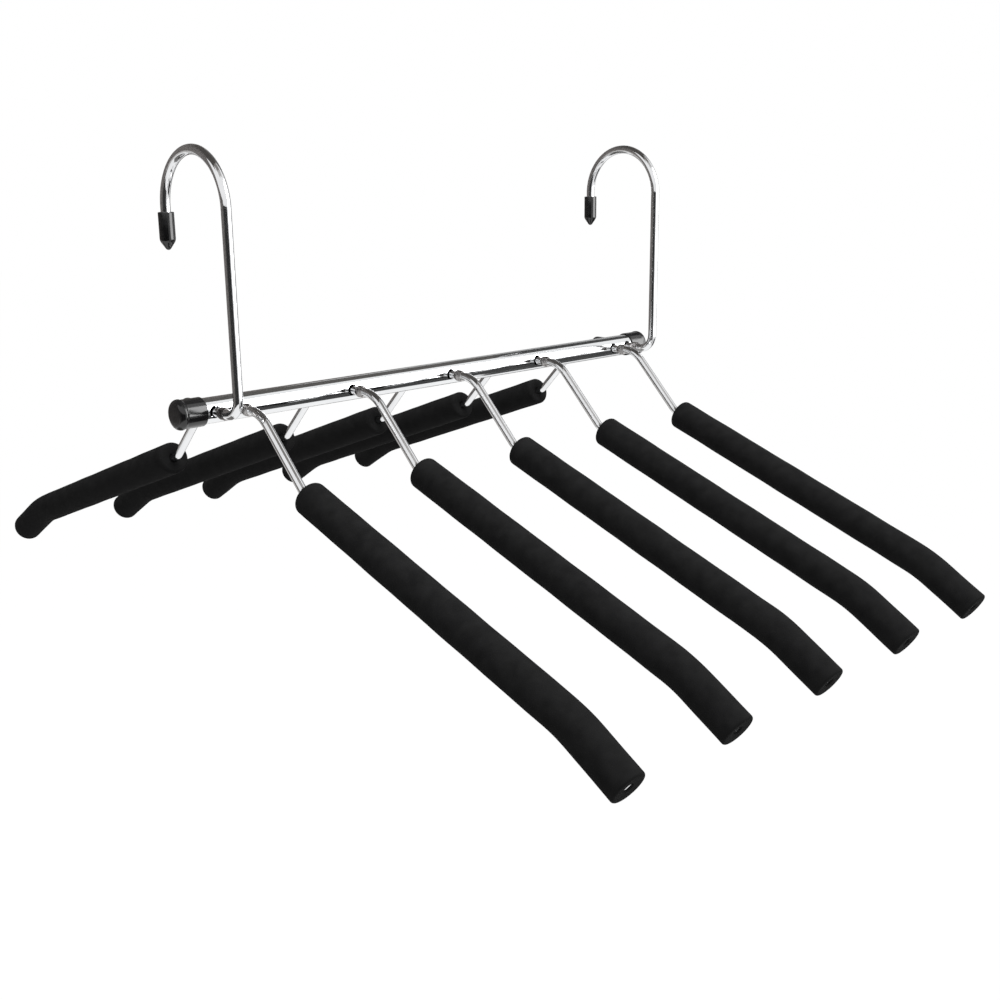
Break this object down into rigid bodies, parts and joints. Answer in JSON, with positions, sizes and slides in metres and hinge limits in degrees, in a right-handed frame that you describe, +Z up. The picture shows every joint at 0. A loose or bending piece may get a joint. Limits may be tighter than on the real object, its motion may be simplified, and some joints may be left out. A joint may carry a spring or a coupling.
{
  "type": "multi-tier clothes hanger",
  "caption": "Level steel spine tube hung on swivelling wire hooks, with a row of drooping foam-padded wire arms that swing in it and hold garments in tiers.",
  "frame": {"origin": "middle of the line along which both hooks sit on a rod, at the underside of their arches", "axes": "+X along the spine tube, +Y to the rear where the hook tips point, +Z up; the pictured left end is at -X and the pictured front arms are at -Y"},
  "size_m": [0.2686, 0.4058, 0.1905],
  "materials": {
    "chrome_tube": "polished",
    "chrome_wire": "polished",
    "collar_steel": "satin",
    "foam": "matte foam",
    "vinyl": "gloss"
  },
  "bodies": {
    "spine": {"spine_tube": "chrome_tube", "end_cap_left": "vinyl", "end_cap_right": "vinyl"},
    "hook_left": {"hook_left_wire": "chrome_wire", "hook_left_tip_cap": "vinyl", "hook_left_foot_cap": "vinyl", "hook_left_collar": "collar_steel"},
    "hook_right": {"hook_right_wire": "chrome_wire", "hook_right_tip_cap": "vinyl", "hook_right_foot_cap": "vinyl", "hook_right_collar": "collar_steel"},
    "arm_1": {"arm_1_wire": "chrome_wire", "arm_1_sleeve_front": "foam", "arm_1_collar_front": "collar_steel", "arm_1_sleeve_rear": "foam", "arm_1_collar_rear": "collar_steel"},
    "arm_2": {"arm_2_wire": "chrome_wire", "arm_2_sleeve_front": "foam", "arm_2_collar_front": "collar_steel", "arm_2_sleeve_rear": "foam", "arm_2_collar_rear": "collar_steel"},
    "arm_3": {"arm_3_wire": "chrome_wire", "arm_3_sleeve_front": "foam", "arm_3_collar_front": "collar_steel", "arm_3_sleeve_rear": "foam", "arm_3_collar_rear": "collar_steel"},
    "arm_4": {"arm_4_wire": "chrome_wire", "arm_4_sleeve_front": "foam", "arm_4_collar_front": "collar_steel", "arm_4_sleeve_rear": "foam", "arm_4_collar_rear": "collar_steel"},
    "arm_5": {"arm_5_wire": "chrome_wire", "arm_5_sleeve_front": "foam", "arm_5_collar_front": "collar_steel", "arm_5_sleeve_rear": "foam", "arm_5_collar_rear": "collar_steel"}
  },
  "joints": [
    {"name": "hook_left_swivel", "type": "hinge", "parent": "spine", "child": "hook_left", "pos_m": [-0.1195, 0, -0.0935], "axis": [0, 1, 0], "range_deg": [-180, 55]},
    {"name": "hook_right_swivel", "type": "hinge", "parent": "spine", "child": "hook_right", "pos_m": [0.1195, 0, -0.0935], "axis": [0, 1, 0], "range_deg": [-55, 180]},
    {"name": "arm_1_swing", "type": "hinge", "parent": "spine", "child": "arm_1", "pos_m": [-0.109, 0, -0.0935], "axis": [0, 1, 0], "range_deg": [-90, 90]},
    {"name": "arm_2_swing", "type": "hinge", "parent": "spine", "child": "arm_2", "pos_m": [-0.0545, 0, -0.0935], "axis": [0, 1, 0], "range_deg": [-90, 90]},
    {"name": "arm_3_swing", "type": "hinge", "parent": "spine", "child": "arm_3", "pos_m": [0, 0, -0.0935], "axis": [0, 1, 0], "range_deg": [-90, 90]},
    {"name": "arm_4_swing", "type": "hinge", "parent": "spine", "child": "arm_4", "pos_m": [0.0545, 0, -0.0935], "axis": [0, 1, 0], "range_deg": [-90, 90]},
    {"name": "arm_5_swing", "type": "hinge", "parent": "spine", "child": "arm_5", "pos_m": [0.109, 0, -0.0935], "axis": [0, 1, 0], "range_deg": [-90, 90]}
  ]
}
